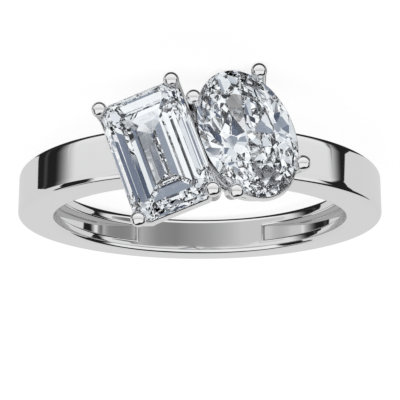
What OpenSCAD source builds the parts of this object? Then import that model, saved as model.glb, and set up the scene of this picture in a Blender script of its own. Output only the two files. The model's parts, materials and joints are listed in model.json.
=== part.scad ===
// Toi et moi ring: a polished white metal shank with two four-prong baskets side by side,
// one holding an emerald cut stone and one an oval brilliant. Millimetres.
//
// The ring is drawn upright about the centre of its finger hole: X to the right, Y along
// the hole, Z up to the stones. The last section lays it down as it rests on a table: on
// the tip of one back prong and the back edge of the shank.

/* [Shank] */
// Diameter of the finger hole, US ring size 7
finger_d = 17.3; // [15.7:0.1:19.8]
// Radial thickness at the base
base_t = 2.0; // [1.7:0.05:2.4]
// Radial thickness under the head
head_t = 2.25; // [2:0.05:2.6]
// Width of the band at the base
base_w = 2.36; // [2.1:0.02:2.7]
// Width of the band under the head
head_w = 2.7; // [2.4:0.02:3.1]
// Rounding of the edges along the finger hole
inner_round = 0.27; // [0.15:0.01:0.35]
// Rounding of the edges along the outside
outer_round = 0.17; // [0.1:0.01:0.25]

/* [Recesses inside the shank] */
// Width between the two walls of a recess
recess_w = 0.95; // [0.7:0.05:1.2]
// Depth of a recess below the finger hole's wall
recess_depth = 0.8; // [0.5:0.05:1.1]
// Rounding of the mouth of a recess
recess_lip = 0.15; // [0.08:0.01:0.2]
// Angle from the base to the lower end of a recess
recess_start = 29; // [22:1:40]
// Angle from the base to the upper end of a recess
recess_end = 118; // [95:1:125]

/* [Head] */
// Height of the prong tips' plane above the finger hole
head_rise = 3.7; // [3.5:0.05:4.2]
// Turn of the line that parts the two stones, away from the finger's direction
head_turn = 20; // [10:1:28]
// Gap between the two stones' girdles
stone_gap = 0.235; // [0.16:0.005:0.4]
// How far each stone slides along the parting line, one each way
stagger = 0.34; // [0.1:0.02:0.6]
// Depth of the girdles below the prong tips' plane
girdle_drop = 0.44; // [0.36:0.02:0.55]
// Air between a stone and the metal that seats it
seat_gap = 0.03; // [0.02:0.005:0.05]

/* [Emerald cut stone] */
// Width across the long sides
emerald_w = 4.37; // [3.9:0.05:4.8]
// Length across the short sides
emerald_l = 6.62; // [6:0.05:7.2]
// Length that each cut corner takes off a side
emerald_corner = 0.66; // [0.5:0.02:0.8]
// Height of the crown
emerald_crown = 0.65; // [0.5:0.02:0.75]
// Depth of the pavilion
emerald_pavilion = 1.9; // [1.6:0.05:2]
// Width of all three crown steps together, seen from above
emerald_bezel = 0.63; // [0.5:0.01:0.75]
// Outward lean of the emerald cut stone's basket
emerald_lean = 10.4; // [4:0.2:12]

/* [Oval stone] */
// Width of the oval
oval_w = 4.64; // [4.2:0.05:5]
// Length of the oval
oval_l = 7.05; // [6.4:0.05:7.6]
// Height of the crown
oval_crown = 0.68; // [0.5:0.02:0.8]
// Depth of the pavilion
oval_pavilion = 1.95; // [1.6:0.05:2]
// Width of the table, as a share of the stone's width
oval_table = 0.57; // [0.5:0.01:0.65]
// Further turn of the oval past the parting line
oval_turn = 3.5; // [0:0.5:8]
// Outward lean of the oval's basket
oval_lean = 1; // [0:0.5:6]
// Thickness of both stones' girdles
girdle_t = 0.1; // [0.06:0.01:0.16]

/* [Prongs and rails] */
// Diameter of the rounded prong tips
tip_d = 0.82; // [0.7:0.02:0.95]
// Diameter of a prong's shaft just under its tip
shaft_d = 0.76; // [0.6:0.02:0.85]
// Diameter of a prong's shaft at its foot
foot_d = 0.9; // [0.75:0.02:1.05]
// Inset of the emerald's prong tips from its long and short sides
emerald_prong_in = 0.2; // [0.1:0.01:0.28]
// Distance of the oval's prong tips outside its girdle
oval_prong_out = 0.25; // [0.18:0.01:0.32]
// Inward run of a prong from tip to foot, across the stone
foot_in_x = 0.25; // [0.1:0.05:0.5]
// Inward run of a prong from tip to foot, along the stone
foot_in_y = 0.75; // [0.5:0.05:0.95]
// Radial thickness of the upper rails
rail_t = 0.5; // [0.4:0.02:0.6]
// Height of the upper rails
rail_h = 0.7; // [0.5:0.05:0.8]
// How far the upper rails stand out past the girdles
rail_out = 0.05; // [0:0.01:0.1]
// Thickness and height of the lower rails
foot_rail = 0.6; // [0.5:0.02:0.75]
// Air between a pavilion's lowest point and the floor of its basket
well_gap = 0.2; // [0.1:0.02:0.3]

/* [Rest] */
// Sideways roll of the ring as it lies, which puts its weight over its two points of rest
rest_roll = 1.3; // [0.5:0.1:2.5]

/* [Hidden] */
$fn = 96;
// Overlap of a cut past the face it opens
past = 1;
// Angle at which a rounded edge meets the faces beside it
edge_meet = 20;
// Sides of the oval rails
oval_sides = 48;

finger_r = finger_d / 2;
base_r = finger_r + base_t;
head_r = finger_r + head_t;
// The outside is one circle, a little above the finger hole's centre
outer_r = (base_r + head_r) / 2;
outer_z = (head_r - base_r) / 2;
// The band's side faces lean outward toward the head
side_slope = (head_w - base_w) / 2 / (base_r + head_r);
function half_w(z) = base_w / 2 + (z + base_r) * side_slope;

tip_z = finger_r + head_rise;
oval_turn_all = head_turn + oval_turn;
// Half the oval's width across the parting line
oval_reach = norm([oval_w / 2 * cos(oval_turn), oval_l / 2 * sin(oval_turn)]);
emerald_off = stone_gap / 2 + emerald_w / 2 * cos(emerald_lean);
oval_off = stone_gap / 2 + oval_reach;
// A place given across and along the parting line
function placed(across, along) =
    [across * cos(head_turn) - along * sin(head_turn),
     across * sin(head_turn) + along * cos(head_turn), tip_z];
emerald_at = placed(-emerald_off, stagger);
oval_at = placed(oval_off, -stagger);

// Places of the prong tips on each stone, from its middle
emerald_tip = [emerald_w / 2 - emerald_prong_in, emerald_l / 2 - emerald_prong_in];
oval_tip = [(oval_w / 2 + oval_prong_out) * cos(45), (oval_l / 2 + oval_prong_out) * sin(45)];
corners = [[1, 1], [-1, 1], [-1, -1], [1, -1]];
// Floor of each basket, below the prong tips' plane
emerald_floor = girdle_drop + girdle_t / 2 + emerald_pavilion + well_gap;
oval_floor = girdle_drop + girdle_t / 2 + oval_pavilion + well_gap;
rail_top = -girdle_drop - girdle_t / 2;

// Length left to a cut corner where an outline has moved inward, and the least one
corner_least = 0.2;
function corner_left(inset) = max(emerald_corner - (2 - sqrt(2)) * inset, corner_least);
// Eight corners of a rectangle with cut corners, counterclockwise
function cut_rect(hw, hl, c) =
    [[hw, -hl + c], [hw, hl - c], [hw - c, hl], [-hw + c, hl],
     [-hw, hl - c], [-hw, -hl + c], [-hw + c, -hl], [hw - c, -hl]];
function ellipse(a, b, n) = [for (i = [0:n - 1]) [a * cos(360 * i / n), b * sin(360 * i / n)]];
function at_z(ring, z) = [for (p = ring) [p[0], p[1], z]];

// Solid through rings of equally many corners, listed from the bottom up
module stacked(rings) {
    n = len(rings[0]);
    last = len(rings) - 1;
    sides = [for (k = [0:last - 1]) for (i = [0:n - 1])
        [k * n + i, (k + 1) * n + i, (k + 1) * n + (i + 1) % n, k * n + (i + 1) % n]];
    bottom = [for (i = [0:n - 1]) i];
    top = [for (i = [n - 1:-1:0]) last * n + i];
    polyhedron([for (r = rings) for (p = r) p], concat([bottom], sides, [top]));
}

// Step cut: each row is a height above or below the girdle, then an inset of the sides,
// both as shares of the whole crown or pavilion
crown_steps = [[0, 0], [0.42, 0.3], [0.76, 0.63], [1, 1]];
pavilion_steps = [[1, 1], [0.78, 0.68], [0.43, 0.33], [0, 0]];
// Half width of the keel that the pavilion's long facets meet at
keel = 0.02;
function step_ring(inset, grow) =
    let (hw = emerald_w / 2 - inset + grow)
    cut_rect(hw, emerald_l / 2 - inset + grow, min(corner_left(inset), hw - keel / 2));
module emerald_shape(grow) {
    half_t = girdle_t / 2 + grow;
    deepest = emerald_w / 2 - keel;
    below = [for (s = pavilion_steps)
        at_z(step_ring(s[1] * deepest, grow), -half_t - s[0] * emerald_pavilion)];
    above = [for (s = crown_steps)
        at_z(step_ring(s[1] * emerald_bezel, grow), half_t + s[0] * emerald_crown)];
    stacked(concat(below, above));
}

// Brilliant cut on an ellipse, eight facets a round. The star facets' points lie this
// share of the way from the table's edge to the girdle, and the lower halves' points this
// share of the way from the culet to the girdle.
star_share = 0.55;
lower_share = 0.24;
star_r = oval_table + star_share * (1 - oval_table);
half_step = 360 / 16;
function brilliant_ring(r, n, from, a, b, z) =
    [for (i = [0:n - 1]) [a * r * cos(from + 360 * i / n), b * r * sin(from + 360 * i / n), z]];
module oval_shape(grow) {
    a = oval_w / 2 + grow;
    b = oval_l / 2 + grow;
    half_t = girdle_t / 2 + grow;
    star_z = half_t + (1 - star_r * cos(half_step)) * oval_crown / (1 - oval_table);
    lower_z = -half_t - oval_pavilion * (1 - lower_share * cos(half_step));
    table = brilliant_ring(oval_table, 8, 0, a, b, half_t + oval_crown);
    star = brilliant_ring(star_r, 8, half_step, a, b, star_z);
    girdle_top = brilliant_ring(1, 16, 0, a, b, half_t);
    girdle_low = brilliant_ring(1, 16, 0, a, b, -half_t);
    lower = brilliant_ring(lower_share, 8, half_step, a, b, lower_z);
    culet = [[0, 0, -half_t - oval_pavilion]];
    // Number of the first corner in each ring of corners
    star_n = len(table);
    high_n = star_n + len(star);
    low_n = high_n + len(girdle_top);
    lower_n = low_n + len(girdle_low);
    culet_n = lower_n + len(lower);
    table_face = [[for (i = [7:-1:0]) i]];
    stars = [for (i = [0:7]) [i, (i + 1) % 8, star_n + i]];
    kites = [for (i = [0:7]) [i, star_n + i, high_n + 2 * i, star_n + (i + 7) % 8]];
    upper_left = [for (i = [0:7]) [star_n + i, high_n + 2 * i + 1, high_n + 2 * i]];
    upper_right = [for (i = [0:7])
        [star_n + i, high_n + (2 * i + 2) % 16, high_n + 2 * i + 1]];
    girdle = [for (i = [0:15])
        [low_n + i, high_n + i, high_n + (i + 1) % 16, low_n + (i + 1) % 16]];
    lower_left = [for (i = [0:7]) [low_n + 2 * i, low_n + 2 * i + 1, lower_n + i]];
    lower_right = [for (i = [0:7])
        [low_n + 2 * i + 1, low_n + (2 * i + 2) % 16, lower_n + i]];
    mains = [for (i = [0:7]) [lower_n + i, culet_n, lower_n + (i + 7) % 8, low_n + 2 * i]];
    polyhedron(concat(table, star, girdle_top, girdle_low, lower, culet),
               concat(table_face, stars, kites, upper_left, upper_right, girdle,
                      lower_left, lower_right, mains));
}

// Places its children in the frame of a basket: Z along the stone's axis, Y along the
// stone's length, the origin in the prong tips' plane
module emerald_place() {
    translate(emerald_at) rotate([0, -emerald_lean, 0]) rotate(head_turn) children();
}
module oval_place() {
    translate(oval_at) rotate([0, oval_lean, 0]) rotate(oval_turn_all) children();
}
module emerald_stone(grow) {
    emerald_place() translate([0, 0, -girdle_drop]) emerald_shape(grow);
}
module oval_stone(grow) {
    oval_place() translate([0, 0, -girdle_drop]) oval_shape(grow);
}

// Turns a shape about Z into one about the finger hole's axis, its height along +Y
module along_y() {
    rotate([-90, 0, 0]) children();
}

// Section of a cutter that rounds a corner of metal: the corner is at the origin, the
// metal where X and Y are positive, and the arc leaves size off each of the two faces
module corner_section(size) {
    arc_r = size / (sqrt(2) * sin(45 - edge_meet));
    back = size / 2 + arc_r * cos(45 - edge_meet) / sqrt(2);
    difference() {
        translate([-size, -size]) square(size + back);
        translate([back, back]) circle(arc_r);
    }
}
// Rounds the edges of both side faces of the band, on circles centred at height z. The
// metal is inside the circle when turned by 180 and outside it when turned by -90.
module edge_cutters(z, r, size, turn) {
    for (side = [0, 1]) mirror([0, side, 0])
        translate([0, half_w(z), z]) rotate([-atan(side_slope), 0, 0])
            along_y() rotate_extrude() translate([r, 0]) rotate(turn) corner_section(size);
}

// Cutter for one recess in the finger hole's wall, between recess_start and recess_end
module recess_cutter() {
    half = recess_w / 2;
    along_y() rotate(90 - recess_end) rotate_extrude(angle = recess_end - recess_start)
        union() {
            translate([finger_r - past, -half]) square([past + recess_depth, recess_w]);
            for (side = [0, 1]) mirror([0, side])
                translate([finger_r, half]) corner_section(recess_lip);
        }
}

module shank() {
    reach = base_r + head_r;
    difference() {
        intersection() {
            translate([0, 0, outer_z]) along_y()
                cylinder(r = outer_r, h = 2 * head_w, center = true);
            rotate([90, 0, 90]) linear_extrude(2 * reach, center = true)
                polygon([for (p = [[1, -1], [1, 1], [-1, 1], [-1, -1]])
                    [p[0] * half_w(p[1] * reach), p[1] * reach]]);
        }
        along_y() cylinder(r = finger_r, h = 2 * head_w, center = true);
        edge_cutters(0, finger_r, inner_round, -90);
        edge_cutters(outer_z, outer_r, outer_round, 180);
        for (side = [0, 1]) mirror([side, 0, 0]) recess_cutter();
    }
}

// Round prong from its rounded tip to its foot
module prong(tip, foot) {
    run = foot - tip;
    length = norm(run);
    translate(tip) {
        sphere(d = tip_d);
        rotate([0, acos(run[2] / length), atan2(run[1], run[0])])
            cylinder(d1 = shaft_d, d2 = foot_d, h = length);
    }
}
module prongs(tip, floor) {
    for (c = corners)
        prong([c[0] * tip[0], c[1] * tip[1], 0],
              [c[0] * (tip[0] - foot_in_x), c[1] * (tip[1] - foot_in_y),
               -floor - foot_rail / 2]);
}
// Flat ring between its two children's outlines, its top at height z
module rail(z, h) {
    translate([0, 0, z - h]) linear_extrude(h) difference() {
        children(0);
        children(1);
    }
}
// Outlines of the upper rails, moved inward by inset
module emerald_outline(inset) {
    polygon(cut_rect(emerald_w / 2 + rail_out - inset, emerald_l / 2 + rail_out - inset,
                     corner_left(inset)));
}
module oval_outline(inset) {
    polygon(ellipse(oval_w / 2 + rail_out - inset, oval_l / 2 + rail_out - inset, oval_sides));
}
module emerald_basket() {
    rail(rail_top, rail_h) {
        emerald_outline(0);
        emerald_outline(rail_t);
    }
    fw = emerald_tip[0] - foot_in_x + foot_rail / 2;
    fl = emerald_tip[1] - foot_in_y + foot_rail / 2;
    rail(-emerald_floor + foot_rail / 2, foot_rail) {
        polygon(cut_rect(fw, fl, corner_left(rail_t)));
        polygon(cut_rect(fw - foot_rail, fl - foot_rail, corner_least));
    }
    prongs(emerald_tip, emerald_floor);
}
module oval_basket() {
    rail(rail_top, rail_h) {
        oval_outline(0);
        oval_outline(rail_t);
    }
    // The lower rail's ellipse runs through the prongs' feet
    fa = (oval_tip[0] - foot_in_x) * sqrt(2) + foot_rail / 2;
    fb = (oval_tip[1] - foot_in_y) * sqrt(2) + foot_rail / 2;
    rail(-oval_floor + foot_rail / 2, foot_rail) {
        polygon(ellipse(fa, fb, oval_sides));
        polygon(ellipse(fa - foot_rail, fb - foot_rail, oval_sides));
    }
    prongs(oval_tip, oval_floor);
}

// Room for both baskets, and for the gap between them, in the top of the shank
module wells() {
    emerald_place() translate([0, 0, -emerald_floor]) linear_extrude(emerald_floor)
        emerald_outline(0);
    oval_place() translate([0, 0, -oval_floor]) linear_extrude(oval_floor) oval_outline(0);
    translate([0, 0, tip_z - min(emerald_floor, oval_floor)]) rotate(head_turn)
        translate([-emerald_off, -head_w, 0])
            cube([emerald_off + oval_off, 2 * head_w, head_rise]);
}

module metal() {
    difference() {
        union() {
            difference() {
                shank();
                wells();
            }
            emerald_place() emerald_basket();
            oval_place() oval_basket();
        }
        emerald_stone(seat_gap);
        oval_stone(seat_gap);
    }
}

// The table's plane, in the upright frame, is y = c + roll * x + pitch * z. It touches the
// ball of the oval's back prong at rest_ball and the circle where the shank's back face
// meets its rounded outer edge. pitch_of() halves its range until both touch.
roll = tan(rest_roll);
rest_tip = [oval_tip[0] * cos(oval_turn_all) - oval_tip[1] * sin(oval_turn_all),
            oval_tip[0] * sin(oval_turn_all) + oval_tip[1] * cos(oval_turn_all)];
rest_ball = oval_at + [rest_tip[0] * cos(oval_lean), rest_tip[1], -rest_tip[0] * sin(oval_lean)];
function ball_reach(pitch) =
    rest_ball[1] - roll * rest_ball[0] - pitch * rest_ball[2] + tip_d / 2 * norm([1, roll, pitch]);
function shank_reach(pitch) =
    half_w(0) + (side_slope - pitch) * outer_z
    + (outer_r - outer_round) * norm([roll, pitch - side_slope]);
function pitch_of(low, high, halvings) =
    let (middle = (low + high) / 2)
    halvings == 0 ? middle
    : ball_reach(middle) > shank_reach(middle) ? pitch_of(middle, high, halvings - 1)
    : pitch_of(low, middle, halvings - 1);
pitch = pitch_of(0, 0.5, 30);

// Lays the upright ring on its back side, stones toward -Y, then levels the rest plane
module laid_down() {
    rotate(atan(norm([roll, pitch])), [-pitch, roll, 0]) rotate([90, 180, 0]) children();
}

module shank_and_setting() {
    color("silver") laid_down() metal();
}
module emerald_cut_stone() {
    color("aliceblue") laid_down() emerald_stone(0);
}
module oval_cut_stone() {
    color("azure") laid_down() oval_stone(0);
}

shank_and_setting();
emerald_cut_stone();
oval_cut_stone();
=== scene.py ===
import json
import math

import bmesh
import bpy
import numpy as np
from mathutils import Matrix, Vector


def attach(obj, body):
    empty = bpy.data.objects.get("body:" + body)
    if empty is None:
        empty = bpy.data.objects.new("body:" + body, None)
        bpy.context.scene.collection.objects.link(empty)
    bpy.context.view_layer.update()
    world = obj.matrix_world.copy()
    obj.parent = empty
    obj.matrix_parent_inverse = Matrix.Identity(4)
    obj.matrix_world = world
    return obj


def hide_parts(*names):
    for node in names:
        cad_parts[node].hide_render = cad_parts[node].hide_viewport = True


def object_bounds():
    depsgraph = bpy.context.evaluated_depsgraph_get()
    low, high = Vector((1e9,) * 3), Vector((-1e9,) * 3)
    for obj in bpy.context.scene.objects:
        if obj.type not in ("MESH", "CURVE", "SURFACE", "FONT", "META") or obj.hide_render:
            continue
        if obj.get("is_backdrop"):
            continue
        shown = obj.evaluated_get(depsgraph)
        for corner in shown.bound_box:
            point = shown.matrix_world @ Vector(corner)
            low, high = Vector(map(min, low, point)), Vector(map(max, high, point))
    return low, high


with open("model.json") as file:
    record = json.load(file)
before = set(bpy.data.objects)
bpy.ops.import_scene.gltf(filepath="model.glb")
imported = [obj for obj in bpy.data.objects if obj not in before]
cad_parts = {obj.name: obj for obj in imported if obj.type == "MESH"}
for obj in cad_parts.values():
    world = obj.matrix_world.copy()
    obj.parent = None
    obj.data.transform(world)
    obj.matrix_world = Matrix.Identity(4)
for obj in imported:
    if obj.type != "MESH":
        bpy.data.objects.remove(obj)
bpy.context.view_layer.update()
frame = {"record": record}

# Sizes are in millimetres and angles in degrees, in the upright frame of the ring: X right,
# Y along the finger hole, Z up to the stones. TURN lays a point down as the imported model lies.
HOLE = Vector(frame["record"]["mounts"][0]["axis"])
LEVEL = Vector((0, 0, 1)).rotation_difference(HOLE).to_matrix()
TURN = LEVEL @ Matrix(((-1, 0, 0), (0, 0, -1), (0, -1, 0)))
MM = 0.001

# Shank: a flat band, thicker and wider at the head than at the base
FINGER_R = 17.3 / 2
BASE_R = FINGER_R + 2.0
HEAD_R = FINGER_R + 2.25
OUTER_R = (BASE_R + HEAD_R) / 2
OUTER_Z = (HEAD_R - BASE_R) / 2
BASE_W, HEAD_W = 2.36, 2.7
SIDE_SLOPE = (HEAD_W - BASE_W) / 2 / (BASE_R + HEAD_R)
INNER_ROUND, OUTER_ROUND = 0.31, 0.28

# Two recesses in its finger side, one either way from the base, between these angles from it
RECESS_START, RECESS_END = 29, 118
RECESS_W, RECESS_DEPTH, RECESS_LIP, FLOOR_ROUND = 0.95, 0.8, 0.15, 0.07
# Toward the base, the floor comes up to RAMP_DEPTH over the length RAMP
RAMP, RAMP_DEPTH = 2.6, 0.2

# Steps of the shank's mesh, first across it, around its edges and over its flats, then along it
INNER_STEPS, OUTER_STEPS, LIP_STEPS, FLOOR_STEPS, BORE_STEPS, FLAT_STEPS = 8, 7, 7, 4, 3, 4
BASE_STEPS, RAMP_STEPS, RECESS_STEPS, HEAD_STEPS = 20, 20, 60, 40

# Head: where the stones sit
TIP_Z = FINGER_R + 3.7
HEAD_TURN, STONE_GAP, STAGGER, GIRDLE_DROP, GIRDLE_T = 20, 0.235, 0.34, 0.44, 0.1

# Emerald cut stone, its crown's and pavilion's steps as (share of the height, share of the inset)
EM_W, EM_L, EM_CORNER = 4.37, 6.62, 0.66
EM_CROWN, EM_PAVILION, EM_BEZEL, EM_KEEL, EM_LEAN = 0.65, 1.9, 0.63, 0.02, 10.4
EM_CROWN_STEPS = ((0, 0), (0.42, 0.3), (0.76, 0.63), (1, 1))
EM_PAVILION_STEPS = ((1, 1), (0.85, 0.72), (0.55, 0.4), (0, 0))
CORNER_MIN = 0.2

# Oval stone, its table and the points of its star facets as shares
OV_W, OV_L, OV_CROWN, OV_PAVILION, OV_TABLE, OV_STAR = 4.64, 7.05, 0.68, 1.95, 0.57, 0.6
OV_TURN, OV_LEAN = 3.5, 1
# Its facets underneath slope most at the sides, and those that meet in pairs slope a little more
OV_SIDE_SLOPE, OV_END_SLOPE, OV_PAIR_SLOPE = 40.5, 28, 1
OV_FACET_STEP, OV_GIRDLE_SIDES, OV_BLANK_LOW = 22.5, 128, -3

# Prongs: a neck of NECK length takes the tip to the shaft, and TIP_POWER flattens the dome
TIP_D, SHAFT_D, FOOT_D, TIP_POWER, NECK = 0.81, 0.75, 0.9, 0.95, 0.3
EM_PRONG_IN, OV_PRONG_OUT, FOOT_IN_X, FOOT_IN_Y = 0.2, 0.25, 0.25, 0.75
PRONG_SIDES, DOME_STEPS, SHAFT_STEPS = 40, 24, 6
PRONGS = ((1, 1, "back_right"), (-1, 1, "back_left"), (-1, -1, "front_left"), (1, -1, "front_right"))

# Rails: the upper one's width, height and overhang past the girdle, and the lower one's width
RAIL_T, RAIL_H, RAIL_OUT, FOOT_RAIL = 0.5, 0.7, 0.05, 0.6
# Their edges' roundings, and their corners' outside and inside
UPPER_EDGE, LOWER_EDGE = 0.08, 0.1
UPPER_CORNERS, LOWER_CORNERS = (0.22, 0.1), (0.15, 0.08)
# A cut corner is shorter inside the rail than outside it, by this share of its width
MITRE = 0.586
RAIL_SIDES, ARC_STEPS, EDGE_STEPS = 120, 5, 4

# The wells that keep the shank clear of the stones, and how much larger than its stone a seat is
WELL_GAP, WELL_TOP, WELL_SIDES, SEAT_GROWTH = 0.2, 0.3, 48, 1.014

# In metres: points nearer than WELD are one point, and edges shorter than SLIVER go
WELD, SLIVER = 2e-7, 1e-7


def rad(a):
    return math.radians(a)


def ease(t):
    return t * t * (3 - 2 * t)


def quarter(steps):
    """Angles of a quarter turn in radians, both ends included."""
    return [rad(90 * k / steps) for k in range(steps + 1)]


def spaced(a, b, steps):
    """Equal steps from a up to b, without b."""
    return [a + (b - a) * k / steps for k in range(steps)]


def half_w(z):
    return BASE_W / 2 + (z + BASE_R) * SIDE_SLOPE


def on_head(across, along):
    c, s = math.cos(rad(HEAD_TURN)), math.sin(rad(HEAD_TURN))
    return Vector((across * c - along * s, across * s + along * c, TIP_Z))


def seat_frame(across, along, lean, turn):
    """The frame of a stone and its basket, its origin level with the prong tips."""
    return (Matrix.Translation(on_head(across, along)) @ Matrix.Rotation(rad(lean), 4, "Y")
            @ Matrix.Rotation(rad(turn), 4, "Z"))


OV_REACH = math.hypot(OV_W / 2 * math.cos(rad(OV_TURN)), OV_L / 2 * math.sin(rad(OV_TURN)))
EM_OFF = STONE_GAP / 2 + EM_W / 2 * math.cos(rad(EM_LEAN))
OV_OFF = STONE_GAP / 2 + OV_REACH
EM_FRAME = seat_frame(-EM_OFF, STAGGER, -EM_LEAN, HEAD_TURN)
OV_FRAME = seat_frame(OV_OFF, -STAGGER, OV_LEAN, HEAD_TURN + OV_TURN)
EM_TIP = (EM_W / 2 - EM_PRONG_IN, EM_L / 2 - EM_PRONG_IN)
OV_TIP = ((OV_W / 2 + OV_PRONG_OUT) * math.cos(rad(45)), (OV_L / 2 + OV_PRONG_OUT) * math.sin(rad(45)))
EM_RIM = (EM_W / 2 + RAIL_OUT, EM_L / 2 + RAIL_OUT)
OV_RIM = (OV_W / 2 + RAIL_OUT, OV_L / 2 + RAIL_OUT)
EM_FLOOR = GIRDLE_DROP + GIRDLE_T / 2 + EM_PAVILION + WELL_GAP
OV_FLOOR = GIRDLE_DROP + GIRDLE_T / 2 + OV_PAVILION + WELL_GAP
RAIL_TOP = -GIRDLE_DROP - GIRDLE_T / 2


# Node trees
class Tree:
    """The node tree of a material or a world, with short calls that fill it."""

    def __init__(self, owner):
        owner.use_nodes = True
        self.nodes, self.links = owner.node_tree.nodes, owner.node_tree.links

    def fill(self, node, inputs):
        """Sets each input, by name or number, to a value or links it to another node's output."""
        for key, value in inputs.items():
            if isinstance(value, bpy.types.NodeSocket):
                self.links.new(value, node.inputs[key])
            else:
                node.inputs[key].default_value = value

    def add(self, kind, inputs=None, output=0, **settings):
        """A new node's output, by name or number."""
        node = self.nodes.new(kind)
        for key, value in settings.items():
            setattr(node, key, value)
        self.fill(node, inputs or {})
        return node.outputs[output]


def new_material(name, inputs=None):
    """A material, its tree, and its main shader with the given inputs."""
    mat = bpy.data.materials.new(name)
    tree = Tree(mat)
    shader = tree.nodes["Principled BSDF"]
    tree.fill(shader, inputs or {})
    return mat, tree, shader


# Materials of the ring, by the record's slot
# NARROW is in millimetres. The first colour is painted shade for the metal in gaps narrower than that, and
# the second is the polished metal's own colour
NARROW = 0.5
CREVICE_SHADE, POLISHED = (0.2, 0.2, 0.21, 1), (0.9, 0.9, 0.905, 1)


def polished_metal():
    mat, tree, shader = new_material("polished_white_gold", {"Metallic": 1})
    # Painted shade: the Ambient Occlusion node darkens the metal's colour in the narrow places between the
    # stones, rails and prongs
    occlusion = tree.add("ShaderNodeAmbientOcclusion", {"Distance": NARROW * MM}, "AO", samples=8)
    unshaded = tree.add("ShaderNodeMapRange", {"Value": occlusion, "From Min": 0.2, "From Max": 0.6}, "Result")
    tint = tree.add("ShaderNodeMix", {"Factor": unshaded, "A": CREVICE_SHADE, "B": POLISHED}, "Result",
                    data_type="RGBA")
    # Faint haze left by the polishing wheel, in patches of about a millimetre
    coord = tree.add("ShaderNodeTexCoord", output="Object")
    haze = tree.add("ShaderNodeTexNoise", {"Vector": coord, "Scale": 900, "Detail": 4}, "Fac")
    rough = tree.add("ShaderNodeMapRange", {"Value": haze, "To Min": 0.02, "To Max": 0.06}, "Result")
    tree.fill(shader, {"Base Color": tint, "Roughness": rough})
    return mat


def clear_stone(name):
    """Diamond, with the mirroring at its surface kept low so that its facets' light shows."""
    mat, _, _ = new_material(name, {"Base Color": (1, 1, 1, 1), "Transmission Weight": 1, "IOR": 2.417,
                                    "Roughness": 0, "Specular Tint": (0.3, 0.31, 0.33, 1)})
    return mat


FINISH = {"white_metal": polished_metal(),
          "emerald_cut_stone": clear_stone("emerald_cut_clear"),
          "oval_cut_stone": clear_stone("oval_cut_clear")}


# Mesh helpers
def laid_down(points):
    """Points of the upright frame as lists in metres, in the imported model's frame."""
    return ((np.asarray(points, float) @ np.array(TURN).T) * MM).tolist()


def new_object(name, points, faces, mat):
    me = bpy.data.meshes.new(name)
    me.from_pydata(points, [], faces)
    me.materials.append(mat)
    ob = bpy.data.objects.new(name, me)
    bpy.context.scene.collection.objects.link(ob)
    return ob


def make(name, points, faces, slot="white_metal", smooth=True, place=None):
    """A piece from points in the upright frame, or in a basket's frame given by place."""
    pts = np.asarray(points, float)
    if place is not None:
        m = np.array(place)
        pts = pts @ m[:3, :3].T + m[:3, 3]
    ob = new_object(name, laid_down(pts), faces, FINISH[slot])
    bm = bmesh.new()
    bm.from_mesh(ob.data)
    bmesh.ops.remove_doubles(bm, verts=bm.verts, dist=WELD)
    bmesh.ops.dissolve_degenerate(bm, edges=bm.edges, dist=SLIVER)
    bmesh.ops.recalc_face_normals(bm, faces=bm.faces)
    bm.to_mesh(ob.data)
    bm.free()
    for p in ob.data.polygons:
        p.use_smooth = smooth
    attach(ob, "root")
    return ob


def apply_modifiers(ob):
    graph = bpy.context.evaluated_depsgraph_get()
    me = bpy.data.meshes.new_from_object(ob.evaluated_get(graph))
    ob.modifiers.clear()
    old = ob.data
    ob.data = me
    bpy.data.meshes.remove(old)


def cut_out(ob, cutters):
    """Takes the cutters out of the piece."""
    for cutter in cutters:
        cut = ob.modifiers.new("cut", "BOOLEAN")
        cut.operation = "DIFFERENCE"
        cut.solver = "EXACT"
        cut.object = cutter
    apply_modifiers(ob)


def even_normals(ob, sharp):
    """Flat faces stay flat beside their rounded edges, and edges past the sharp angle stay sharp."""
    bm = bmesh.new()
    bm.from_mesh(ob.data)
    for e in bm.edges:
        if len(e.link_faces) == 2 and e.calc_face_angle(0) > rad(sharp):
            e.smooth = False
    bm.to_mesh(ob.data)
    bm.free()
    normals = ob.modifiers.new("normals", "WEIGHTED_NORMAL")
    normals.keep_sharp = True
    normals.weight = 80
    apply_modifiers(ob)


def loft(rings, capped=False):
    """Points and faces through equal closed rings, capped or else joined last to first."""
    n, count = len(rings[0]), len(rings)
    pts = [p for ring in rings for p in ring]
    faces = []
    for k in range(count - 1 if capped else count):
        a, b = k * n, (k + 1) % count * n
        for i in range(n):
            j = (i + 1) % n
            faces.append([a + i, a + j, b + j, b + i])
    if capped:
        faces.append(list(range(n)))
        faces.append([(count - 1) * n + i for i in range(n)][::-1])
    return pts, faces


def prism(outline, low, high):
    return loft([[(x, y, z) for x, y in outline] for z in (low, high)], capped=True)


# Outlines
def cut_rect(hw, hl, c):
    """A rectangle of half width hw and half length hl, its corners cut by c."""
    return [(hw, -hl + c), (hw, hl - c), (hw - c, hl), (-hw + c, hl),
            (-hw, hl - c), (-hw, -hl + c), (-hw + c, -hl), (hw - c, -hl)]


def ellipse(a, b, n):
    return [(a * math.cos(2 * math.pi * i / n), b * math.sin(2 * math.pi * i / n)) for i in range(n)]


def rounded(outline, r):
    """The outline with each corner rounded by an arc."""
    out = []
    count = len(outline)
    for i, p in enumerate(outline):
        p = Vector(p)
        a = (Vector(outline[i - 1]) - p).normalized()
        b = (Vector(outline[(i + 1) % count]) - p).normalized()
        half = a.angle(b) / 2
        back = r / math.tan(half)
        mid = p + (a + b).normalized() * (r / math.sin(half))
        start = p + a * back - mid
        end = p + b * back - mid
        for k in range(ARC_STEPS + 1):
            out.append(tuple(mid + start.slerp(end, k / ARC_STEPS).normalized() * r))
    return out


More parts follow.
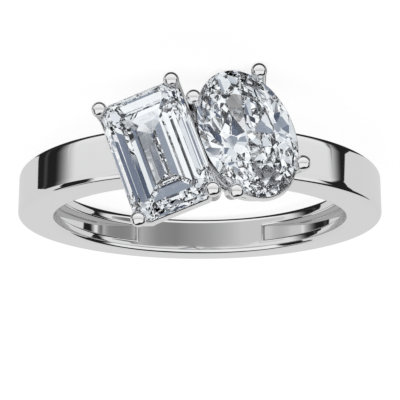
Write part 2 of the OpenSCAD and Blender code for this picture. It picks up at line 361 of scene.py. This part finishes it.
# Shank
def recess_profile():
    """Half of the recess across the band, from its middle out: (y, depth)."""
    half = RECESS_W / 2
    wall = RECESS_DEPTH - FLOOR_ROUND
    out = [(y, RECESS_DEPTH) for y in spaced(0, half - FLOOR_ROUND, FLAT_STEPS)]
    for a in quarter(FLOOR_STEPS):
        out.append((half - FLOOR_ROUND * (1 - math.sin(a)), RECESS_DEPTH - FLOOR_ROUND * (1 - math.cos(a))))
    out += [(half, depth) for depth in spaced(wall, RECESS_LIP, FLAT_STEPS)[1:]]
    for a in quarter(LIP_STEPS):
        out.append((half + RECESS_LIP * (1 - math.cos(a)), RECESS_LIP * (1 - math.sin(a))))
    return out


RECESS = recess_profile()


def section(phi, limit):
    """Closed section of the band at phi degrees from its base, the recess no deeper than limit."""
    s, c = math.sin(rad(phi)), math.cos(rad(phi))
    outer = -OUTER_Z * c + math.sqrt(OUTER_Z ** 2 * c * c + OUTER_R ** 2 - OUTER_Z ** 2)
    half = [(FINGER_R + min(depth, limit), y) for y, depth in RECESS]
    flat_from, flat_to = RECESS[-1][0], half_w(-FINGER_R * c) - INNER_ROUND
    half += [(FINGER_R, y) for y in spaced(flat_from, flat_to, BORE_STEPS)[1:]]
    for a in quarter(INNER_STEPS):
        r = FINGER_R + INNER_ROUND * (1 - math.cos(a))
        half.append((r, half_w(-r * c) - INNER_ROUND * (1 - math.sin(a))))
    side_from, side_to = FINGER_R + INNER_ROUND, outer - OUTER_ROUND
    half += [(r, half_w(-r * c)) for r in spaced(side_from, side_to, FLAT_STEPS)[1:]]
    for a in quarter(OUTER_STEPS):
        r = side_to + OUTER_ROUND * math.sin(a)
        half.append((r, half_w(-r * c) - OUTER_ROUND * (1 - math.cos(a))))
    half += [(outer, y) for y in spaced(half[-1][1], 0, FLAT_STEPS)[1:]]
    mirror = [(r, -y) for r, y in reversed(half)]
    loop = half + [(outer, 0.0)] + mirror[:-1]
    return [(r * s, y, -r * c) for r, y in loop]


def shank_rows():
    """(phi, limit) of each section, once around from the base."""
    lip = [(-RECESS_LIP * (1 - math.sin(a)), RECESS_LIP * (1 - math.cos(a))) for a in quarter(LIP_STEPS)]
    # The recess's floor runs out shallow toward the base and ends square at the shoulder
    shallow = lip + [(RAMP * t, RAMP_DEPTH + (RECESS_DEPTH - RAMP_DEPTH) * ease(t))
                     for t in spaced(0, 1, RAMP_STEPS) + [1]]
    square = lip + [(FLOOR_ROUND * (1 - math.cos(a)), RECESS_DEPTH - FLOOR_ROUND * (1 - math.sin(a)))
                    for a in quarter(FLOOR_STEPS)]
    per_mm = math.degrees(1 / FINGER_R)
    start = [(RECESS_START + s * per_mm, depth) for s, depth in shallow]
    end = [(RECESS_END - s * per_mm, depth) for s, depth in reversed(square)]
    half = [(phi, 0) for phi in spaced(0, start[0][0], BASE_STEPS)] + start
    half += [(phi, RECESS_DEPTH) for phi in spaced(start[-1][0], end[0][0], RECESS_STEPS)[1:]] + end
    half += [(phi, 0) for phi in spaced(end[-1][0], 180, HEAD_STEPS)[1:] + [180]]
    return half + [(360 - phi, depth) for phi, depth in reversed(half[1:-1])]


def shank():
    ob = make("shank", *loft([section(phi, limit) for phi, limit in shank_rows()]))
    between = [(-EM_OFF, -HEAD_W), (OV_OFF, -HEAD_W), (OV_OFF, HEAD_W), (-EM_OFF, HEAD_W)]
    head = Matrix.Rotation(rad(HEAD_TURN), 4, "Z")
    wells = (("cut_a", cut_rect(*EM_RIM, EM_CORNER), -EM_FLOOR, WELL_TOP, EM_FRAME),
             ("cut_b", ellipse(*OV_RIM, WELL_SIDES), -OV_FLOOR, WELL_TOP, OV_FRAME),
             ("cut_c", between, TIP_Z - min(EM_FLOOR, OV_FLOOR), TIP_Z, head))
    cutters = [make(name, *prism(outline, low, high), smooth=False, place=place)
               for name, outline, low, high, place in wells]
    cut_out(ob, cutters)
    for cutter in cutters:
        bpy.data.objects.remove(cutter)
    even_normals(ob, sharp=32)
    return ob


# Baskets
def rail(name, outer, inner, top, height, edge, place):
    """A band between two outlines with as many points each, its edges rounded."""
    outer, inner = np.array(outer), np.array(inner)
    share = edge / np.linalg.norm(outer - inner, axis=1).mean()
    rings = []
    for corner_t, corner_z, first in ((1 - share, -edge, 90), (1 - share, edge - height, 0),
                                      (share, edge - height, -90), (share, -edge, -180)):
        for a in quarter(EDGE_STEPS):
            t = corner_t + share * math.cos(rad(first) - a)
            z = corner_z + edge * math.sin(rad(first) - a)
            rings.append([(x, y, top + z) for x, y in inner + (outer - inner) * t])
    ob = make(name, *loft(rings), place=place)
    even_normals(ob, sharp=40)
    return ob


def emerald_rails():
    inner_corner = max(EM_CORNER - MITRE * RAIL_T, CORNER_MIN)
    hw, hl = EM_RIM
    upper = rail("emerald_upper_rail", rounded(cut_rect(hw, hl, EM_CORNER), UPPER_CORNERS[0]),
                 rounded(cut_rect(hw - RAIL_T, hl - RAIL_T, inner_corner), UPPER_CORNERS[1]),
                 RAIL_TOP, RAIL_H, UPPER_EDGE, EM_FRAME)
    hw, hl = EM_TIP[0] - FOOT_IN_X + FOOT_RAIL / 2, EM_TIP[1] - FOOT_IN_Y + FOOT_RAIL / 2
    lower = rail("emerald_lower_rail", rounded(cut_rect(hw, hl, inner_corner), LOWER_CORNERS[0]),
                 rounded(cut_rect(hw - FOOT_RAIL, hl - FOOT_RAIL, CORNER_MIN), LOWER_CORNERS[1]),
                 FOOT_RAIL / 2 - EM_FLOOR, FOOT_RAIL, LOWER_EDGE, EM_FRAME)
    return [upper, lower]


def oval_rails():
    a, b = OV_RIM
    upper = rail("oval_upper_rail", ellipse(a, b, RAIL_SIDES), ellipse(a - RAIL_T, b - RAIL_T, RAIL_SIDES),
                 RAIL_TOP, RAIL_H, UPPER_EDGE, OV_FRAME)
    a = (OV_TIP[0] - FOOT_IN_X) * math.sqrt(2) + FOOT_RAIL / 2
    b = (OV_TIP[1] - FOOT_IN_Y) * math.sqrt(2) + FOOT_RAIL / 2
    lower = rail("oval_lower_rail", ellipse(a, b, RAIL_SIDES),
                 ellipse(a - FOOT_RAIL, b - FOOT_RAIL, RAIL_SIDES),
                 FOOT_RAIL / 2 - OV_FLOOR, FOOT_RAIL, LOWER_EDGE, OV_FRAME)
    return [upper, lower]


def prong(name, tip, foot, place):
    """Round shaft with a domed tip, a little flatter on top than a ball."""
    tip, run = Vector(tip), Vector(foot) - Vector(tip)
    r, shaft_r = TIP_D / 2, SHAFT_D / 2
    profile = [(r * math.sin(a) ** TIP_POWER, -r * max(math.cos(a), 0) ** TIP_POWER)
               for a in quarter(DOME_STEPS)[1:]]
    steps = spaced(0, 1, SHAFT_STEPS)[1:] + [1]
    profile += [(r + (shaft_r - r) * ease(t), NECK * t) for t in steps]
    profile += [(shaft_r + (FOOT_D / 2 - shaft_r) * t, NECK + (run.length - NECK) * t) for t in steps]
    turn = Vector((0, 0, 1)).rotation_difference(run).to_matrix()
    rings = [[tuple(tip + turn @ Vector((x, y, h))) for x, y in ellipse(radius, radius, PRONG_SIDES)]
             for radius, h in profile]
    pts, faces = loft(rings, capped=True)
    # A fan about the pole closes the dome, and a flat face the foot
    faces = faces[:-2]
    pole, base = len(pts), len(pts) - PRONG_SIDES
    pts.append(tuple(tip + turn @ Vector((0, 0, -r))))
    faces += [[pole, (i + 1) % PRONG_SIDES, i] for i in range(PRONG_SIDES)]
    faces.append([base + i for i in range(PRONG_SIDES)])
    ob = make(name, pts, faces, place=place)
    even_normals(ob, sharp=50)
    return ob


def prongs(stone, tip, floor, place):
    foot_x, foot_y, foot_z = tip[0] - FOOT_IN_X, tip[1] - FOOT_IN_Y, -floor - FOOT_RAIL / 2
    return [prong(f"{stone}_prong_{corner}", (sx * tip[0], sy * tip[1], 0),
                  (sx * foot_x, sy * foot_y, foot_z), place) for sx, sy, corner in PRONGS]


def baskets():
    return (emerald_rails() + oval_rails() + prongs("emerald", EM_TIP, EM_FLOOR, EM_FRAME)
            + prongs("oval", OV_TIP, OV_FLOOR, OV_FRAME))


# Stones
def emerald_stone():
    def ring(inset, z):
        hw, hl = EM_W / 2 - inset, EM_L / 2 - inset
        c = min(max(EM_CORNER - (2 - math.sqrt(2)) * inset, CORNER_MIN), hw - EM_KEEL / 2)
        return [(x, y, z - GIRDLE_DROP) for x, y in cut_rect(hw, hl, c)]

    half = GIRDLE_T / 2
    rings = [ring(s * (EM_W / 2 - EM_KEEL), -half - h * EM_PAVILION) for h, s in EM_PAVILION_STEPS]
    rings += [ring(s * EM_BEZEL, half + h * EM_CROWN) for h, s in EM_CROWN_STEPS]
    pts, faces = loft(rings, capped=True)
    return make("emerald_cut_diamond", pts, faces, "emerald_cut_stone", False, EM_FRAME)


def cut_solid(outline, low, high, planes):
    """A prism with the part outside each plane cut away: (normal, distance) each."""
    pts, faces = prism(outline, low, high)
    bm = bmesh.new()
    corners = [bm.verts.new(p) for p in pts]
    for f in faces:
        bm.faces.new([corners[i] for i in f])
    bmesh.ops.recalc_face_normals(bm, faces=bm.faces)
    for n, d in planes:
        n = Vector(n)
        parts = bm.verts[:] + bm.edges[:] + bm.faces[:]
        cut = bmesh.ops.bisect_plane(bm, geom=parts, dist=1e-6, plane_co=n * d / n.length_squared,
                                     plane_no=n, clear_outer=True)
        edges = [e for e in cut["geom_cut"] if isinstance(e, bmesh.types.BMEdge)]
        if edges:
            bmesh.ops.contextual_create(bm, geom=edges)
    bm.verts.index_update()
    pts = [tuple(v.co) for v in bm.verts]
    faces = [[v.index for v in f.verts] for f in bm.faces]
    bm.free()
    return pts, faces


def plane_through(a, b, c):
    """(normal, distance) of the plane, the normal pointing away from the stone's middle."""
    a, b, c = Vector(a), Vector(b), Vector(c)
    n = (b - a).cross(c - a).normalized()
    d = n.dot(a)
    return (-n, -d) if d < 0 else (n, d)


def oval_stone():
    a, b, half = OV_W / 2, OV_L / 2, GIRDLE_T / 2
    step, top = OV_FACET_STEP, half + OV_CROWN
    star_r = OV_TABLE + OV_STAR * (1 - OV_TABLE)
    star_z = half + (1 - star_r * math.cos(rad(step))) * OV_CROWN / (1 - OV_TABLE)

    def at(r, ang, z):
        return (a * r * math.cos(rad(ang)), b * r * math.sin(rad(ang)), z)

    def below(ang, steeper):
        """A pavilion facet under the girdle at ang, falling inward less steeply at the ends."""
        slope = OV_SIDE_SLOPE - (OV_SIDE_SLOPE - OV_END_SLOPE) * math.sin(rad(ang)) ** 2 + steeper
        out = Vector((math.cos(rad(ang)) / a, math.sin(rad(ang)) / b)).normalized()
        across, down = math.sin(rad(slope)), -math.cos(rad(slope))
        n = Vector((out.x * across, out.y * across, down))
        return n, n.dot(Vector(at(1, ang, -half)))

    planes = []
    for i in range(8):
        main = 2 * step * i
        between = main + step
        table, star = at(OV_TABLE, main, top), at(star_r, between, star_z)
        planes.append(plane_through(table, star, at(star_r, main - step, star_z)))
        planes.append(plane_through(table, at(OV_TABLE, main + 2 * step, top), star))
        for side in (-step, step):
            planes.append(plane_through(star, at(1, between, half), at(1, between + side, half)))
            planes.append(below(between + side / 2, OV_PAIR_SLOPE))
        planes.append(below(main, 0))
    pts, faces = cut_solid(ellipse(a, b, OV_GIRDLE_SIDES), OV_BLANK_LOW, top, planes)
    pts = [(x, y, z - GIRDLE_DROP) for x, y, z in pts]
    return make("oval_cut_diamond", pts, faces, "oval_cut_stone", False, OV_FRAME)


def seat_stones(metal, stones):
    """Cuts each stone, slightly grown about its girdle, out of its own basket."""
    for name, place in (("emerald", EM_FRAME), ("oval", OV_FRAME)):
        mid = TURN @ (place @ Vector((0, 0, -GIRDLE_DROP))) * MM
        grow = Matrix.Translation(mid) @ Matrix.Scale(SEAT_GROWTH, 4) @ Matrix.Translation(-mid)
        seat = stones[name].copy()
        seat.data = stones[name].data.copy()
        seat.data.transform(grow)
        bpy.context.scene.collection.objects.link(seat)
        for ob in metal:
            if ob.name.startswith(name):
                cut_out(ob, [seat])
        bpy.data.objects.remove(seat)


# The ring
stones = {"emerald": emerald_stone(), "oval": oval_stone()}
metal = [shank()] + baskets()
seat_stones(metal, stones)
for ob in metal:
    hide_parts("shank_and_setting")
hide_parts("emerald_cut_stone")
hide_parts("oval_cut_stone")

# Camera: the photograph's, raised by ELEVATION from the finger hole's axis toward the stones
ELEVATION, DISTANCE, SENSOR, CLIP = 75.12, 71.23, 36, 1
# In pixels of the photograph, the last the place of the finger hole's centre in it
PHOTO, FOCAL, CENTRE = 400, 1182, (199.9, 203.2)
toward = TURN @ Vector((0, -math.cos(rad(ELEVATION)), math.sin(rad(ELEVATION))))
right = TURN @ Vector((1, 0, 0))
up = toward.cross(right).normalized()


def photo_camera():
    cam = bpy.data.cameras.new("camera")
    cam.sensor_width = SENSOR
    cam.lens = SENSOR * FOCAL / PHOTO
    cam.shift_x = (PHOTO / 2 - CENTRE[0]) / PHOTO
    cam.shift_y = (CENTRE[1] - PHOTO / 2) / PHOTO
    cam.clip_start = CLIP * MM
    ob = bpy.data.objects.new("camera", cam)
    bpy.context.scene.collection.objects.link(ob)
    turned = Matrix((right, up, toward)).transposed().to_4x4()
    ob.matrix_world = Matrix.Translation(toward * DISTANCE * MM) @ turned
    bpy.context.scene.camera = ob


# Floor: half its side, in metres
FLOOR_HALF = 3.0


def pale_floor():
    """A plain floor at the ring's lowest point, which neither the metal nor the stones mirror."""
    mat, _, _ = new_material("pale_floor", {
        "Base Color": (0.35, 0.35, 0.35, 1), "Roughness": 0.8, "Specular IOR Level": 0,
        "Emission Color": (1, 1, 1, 1), "Emission Strength": 0.84})
    s, low = FLOOR_HALF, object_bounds()[0][2]
    ob = new_object("floor", [(-s, -s, low), (s, -s, low), (s, s, low), (-s, s, low)], [[0, 1, 2, 3]], mat)
    ob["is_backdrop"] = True
    ob.visible_glossy = ob.visible_transmission = False


# Card: (x, grey) across it, and (x, y) of the line that it bends along, the same on both sides.
# Both lists come from a scratch script's output, and the greys are brightness read off the photo.
CARD_GREY = ((-60, 0.65), (-10, 0.6), (-2, 0.38), (5, 0.24), (10, 0.27), (18, 0.46), (24, 0.22),
             (30, 0.17), (80, 0.5))
CARD_BEND = ((0, 4.4), (15, 5.9), (22, 7.5), (29, 9.5), (52, 14.9), (82, 22))
CARD_Z, CARD_Y = 9.6, (-1.3, 5)


def grey_card():
    """A card behind the head, seen only in what mirrors it, above all the inside of the base."""
    mat, tree, shader = new_material("grey_card", {"Base Color": (0, 0, 0, 1), "Specular IOR Level": 0,
                                                   "Emission Strength": 1})
    grey = tree.add("ShaderNodeVertexColor", output="Color", layer_name="shade")
    tree.fill(shader, {"Emission Color": grey})
    bend = [(x, float(np.interp(abs(x), *zip(*CARD_BEND)))) for x, _ in CARD_GREY]
    pts = [(x, middle + y, CARD_Z) for x, middle in bend for y in CARD_Y]
    faces = [[2 * k, 2 * k + 1, 2 * k + 3, 2 * k + 2] for k in range(len(CARD_GREY) - 1)]
    ob = new_object("card", laid_down(pts), faces, mat)
    shade = ob.data.color_attributes.new("shade", "FLOAT_COLOR", "POINT")
    for k, (_, v) in enumerate(CARD_GREY):
        for i in (2 * k, 2 * k + 1):
            shade.data[i].color = (v, v, v, 1)
    ob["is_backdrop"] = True
    ob.visible_camera = ob.visible_transmission = ob.visible_diffuse = ob.visible_shadow = False


photo_camera()
pale_floor()
grey_card()

# Studio: a dome that the metal mirrors, and another light for the stones
world = bpy.data.worlds.new("studio")
bpy.context.scene.world = world
studio = Tree(world)
studio.nodes.clear()
ray = studio.add("ShaderNodeTexCoord", output="Generated")
path = studio.nodes.new("ShaderNodeLightPath").outputs


def calc(operation, a, b=None):
    inputs = {0: a} if b is None else {0: a, 1: b}
    return studio.add("ShaderNodeMath", inputs, operation=operation)


def mix(a, b, share):
    return studio.add("ShaderNodeMix", {"Factor": share, "A": a, "B": b}, "Result", data_type="FLOAT")


def mix_colour(a, b, share):
    return studio.add("ShaderNodeMix", {"Factor": share, "A": a, "B": b}, "Result", data_type="RGBA")


def smooth(value, low, high):
    """0 at low, 1 at high, and a soft step between."""
    return studio.add("ShaderNodeMapRange", {"Value": value, "From Min": low, "From Max": high}, "Result",
                      interpolation_type="SMOOTHSTEP")


def near_zero(value, low, high):
    """1 within low of zero, falling to 0 at high."""
    return calc("SUBTRACT", 1, smooth(calc("ABSOLUTE", value), low, high))


def along(direction):
    return studio.add("ShaderNodeVectorMath", {0: ray, 1: direction}, "Value", operation="DOT_PRODUCT")


def ramp(value, stops):
    """A grey by value, from stops of (position, grey)."""
    grey = studio.add("ShaderNodeValToRGB", {"Fac": value})
    elements = grey.node.color_ramp.elements
    elements.remove(elements[0])
    elements[0].position = stops[0][0]
    for position, _ in stops[1:]:
        elements.new(position)
    for element, (_, v) in zip(elements, stops):
        element.color = (v, v, v, 1)
    return grey


# Directions, by degrees from the camera's line and by the turn about that line
front, side, height = along(toward), along(right), along(up)
hole = along(TURN @ Vector((0, 1, 0)))
sky = along(TURN @ Vector((0, 0, 1)))
from_line = calc("MULTIPLY", calc("ARCCOSINE", front), 180 / math.pi)
turn = calc("ADD", calc("DIVIDE", calc("ARCTAN2", height, side), 2 * math.pi), 0.5)


def by_turn(stops, most):
    """A value by the turn, from stops of (degrees, value), where no value is above most."""
    return calc("MULTIPLY", ramp(turn, [((t + 180) / 360, v / most) for t, v in stops]), most)


def past(edge, soft):
    """1 for directions further from the camera's line than edge."""
    return smooth(from_line, calc("SUBTRACT", edge, soft), calc("ADD", edge, soft))


# The dark band by turn: its nearer and farther edge, the nearer one's softness, and the band's gap.
# A few points match directions that scratch scripts worked out for pixels chosen in the photo.
NEAR_EDGE = ((-180, 66), (-152, 68), (-146, 74), (-131, 82), (-120, 84), (-112, 68), (-90, 50), (-65, 50),
             (-42, 76), (-24, 84), (-12, 78), (10, 78), (13, 94), (14, 95.5), (30, 91), (90, 91), (140, 91),
             (150, 95), (172, 94), (174, 68), (180, 66))
FAR_EDGE = ((-180, 91), (-152, 92), (-146, 100), (-141, 104), (-131, 108), (-120, 114), (-112, 102),
            (-90, 90), (-65, 92), (-42, 110), (-24, 126), (-12, 104), (10, 104), (13, 102), (19, 118),
            (30, 150), (90, 160), (150, 150), (163, 126), (172, 122), (174, 91), (180, 91))
NEAR_SOFT = ((-180, 3), (-110, 4), (-60, 4), (-29, 5), (-12, 4), (10, 4), (15, 6), (45, 4), (90, 3),
             (150, 6), (166, 10), (172, 10), (174, 3), (180, 3))
PRESENT = ((-180, 1), (-131, 1), (-129, 0), (-124, 0), (-122, 1), (180, 1))
FAR_SOFT = 0.5
# The band's grey, and how much lighter the stripe down its left side is
BAND_GREY, STRIPE_GREY, STRIPE_AT, STRIPE_WIDTH, LEFT_SIDE = 0.016, 0.035, 113.5, (0.5, 3), (0.3, -0.3)
# The dome's grey along the finger hole's axis, from the front at 0 to the back at 1
DOME_GREY = ((0, 0.84), (0.15, 0.92), (0.32, 0.9), (0.4, 0.84), (0.5, 0.8), (0.63, 0.77), (0.75, 0.93),
             (1, 0.95))
# Its plain grey below the horizon, and the dimmer line across its middle, which the prong tips mirror
GROUND_GREY, HORIZON = 0.7, (0.1, -0.25)
LINE_DIM, LINE_AT, LINE_WIDTH, LINE_REACH, IN_FRONT = 0.35, -0.1, (0.05, 0.14), (0.75, 0.9), (0, 0.1)
# Metal seen in metal mirrors a plain grey, and metal seen in a stone mirrors the panes, dimmed.
# A ray's depths are whole numbers, and the limits lie between them.
SECOND_GREY, SECOND_PANES = 0.45, 0.6
SECOND_DEPTH, STONE_DEPTH = 2.5, 0.5


def dark_band():
    """(share, grey) of the nearly black band."""
    inside = past(by_turn(NEAR_EDGE, most=180), by_turn(NEAR_SOFT, most=20))
    outside = past(by_turn(FAR_EDGE, most=180), FAR_SOFT)
    share = calc("MULTIPLY", inside, calc("SUBTRACT", 1, outside))
    share = calc("MULTIPLY", share, by_turn(PRESENT, most=1))
    stripe = near_zero(calc("SUBTRACT", from_line, STRIPE_AT), *STRIPE_WIDTH)
    stripe = calc("MULTIPLY", stripe, smooth(side, *LEFT_SIDE))
    return share, calc("ADD", calc("MULTIPLY", stripe, STRIPE_GREY), BAND_GREY)


def metal_light(panes):
    """A white dome with a dark band behind the ring as the camera stands."""
    level = ramp(calc("ADD", calc("MULTIPLY", hole, 0.5), 0.5), DOME_GREY)
    level = mix(level, GROUND_GREY, smooth(sky, *HORIZON))
    line = near_zero(calc("SUBTRACT", hole, LINE_AT), *LINE_WIDTH)
    line = calc("MULTIPLY", line, near_zero(side, *LINE_REACH))
    line = calc("MULTIPLY", line, smooth(front, *IN_FRONT))
    level = calc("MULTIPLY", level, calc("SUBTRACT", 1, calc("MULTIPLY", line, LINE_DIM)))
    share, grey = dark_band()
    level = mix(level, grey, share)
    in_stone = calc("GREATER_THAN", path["Transmission Depth"], STONE_DEPTH)
    again = mix(SECOND_GREY, calc("MULTIPLY", panes, SECOND_PANES), in_stone)
    return mix(level, again, calc("GREATER_THAN", path["Ray Depth"], SECOND_DEPTH))


# The stones' light: panes between two tones, with round patches over them
PANES_SCALE, PANES_AT = 5, (0, 0, 1.3)
PANE_TONES = ((0.6, 0.66, 0.71, 1), (1.06, 1.08, 1.1, 1))
INK, SLATE, STEEL = (0.01, 0.015, 0.035, 1), (0.045, 0.07, 0.125, 1), (0.14, 0.17, 0.24, 1)
GREY, LIGHT = (0.26, 0.3, 0.37, 1), (1.1, 1.12, 1.14, 1)
PATCH_SOFT = 0.8
# Degrees from the camera's line, turn about it, radius in degrees, tone. Twelve rows come from a
# scratch program's fit to the photo, and nine more follow lists that two other scripts printed.
PATCHES = ((79, 40, 7, LIGHT), (70, -130, 16, LIGHT), (75, 15, 12, LIGHT), (59, 70, 9, GREY),
           (35, 127, 6, SLATE), (31, -63, 6, SLATE), (63, 172, 7, GREY), (59, 99, 10, INK),
           (27, 93, 10, GREY), (87, 165, 10, INK), (83, -63, 10, INK), (67, 153, 9, SLATE),
           (23, 141, 2.5, INK), (79, 175, 9, GREY), (55, 119, 4, INK), (50, 65, 4, INK),
           (57, 53, 3, INK), (39, 101, 4, STEEL), (49, 151, 5, INK), (9, -155, 5, GREY),
           (44, -56, 6, INK), (12, -56, 4, SLATE), (68, 74, 5, INK), (36, 152, 4, SLATE))


def pane_shade():
    """A number from 0 to 1 for each pane, so that neighbouring facets differ."""
    at = studio.add("ShaderNodeVectorMath", {0: ray, 1: PANES_AT}, "Vector", operation="ADD")
    cell = studio.add("ShaderNodeTexVoronoi", {"Vector": at, "Scale": PANES_SCALE}, "Color")
    return studio.add("ShaderNodeSeparateColor", {"Color": cell}, "Red")


def stone_light(panes):
    light = mix_colour(*PANE_TONES, panes)
    for angle, about, radius, tone in PATCHES:
        a, t = rad(angle), rad(about)
        centre = toward * math.cos(a) + (right * math.cos(t) + up * math.sin(t)) * math.sin(a)
        outer, inner = rad(radius + PATCH_SOFT), rad(max(radius - PATCH_SOFT, 0))
        light = mix_colour(light, tone, smooth(along(centre), math.cos(outer), math.cos(inner)))
    return light


def background(colour):
    return studio.add("ShaderNodeBackground", {"Color": colour, "Strength": 1})


def choose(flag, no, yes):
    return studio.add("ShaderNodeMixShader", {0: flag, 1: no, 2: yes})


# The stones' light for rays that leave a stone, white for the camera, the dome for the rest
panes = pane_shade()
light = choose(path["Is Transmission Ray"], background(metal_light(panes)),
               background(stone_light(panes)))
light = choose(path["Is Camera Ray"], light, background((1, 1, 1, 1)))
studio.fill(studio.nodes.new("ShaderNodeOutputWorld"), {"Surface": light})

# Colours as lit, and enough bounces for light to leave a stone
scene = bpy.context.scene
scene.view_settings.view_transform = "Standard"
scene.view_settings.look = "None"
scene.cycles.max_bounces = 24
scene.cycles.transmission_bounces = scene.cycles.glossy_bounces = 16
scene.cycles.caustics_reflective = scene.cycles.caustics_refractive = True
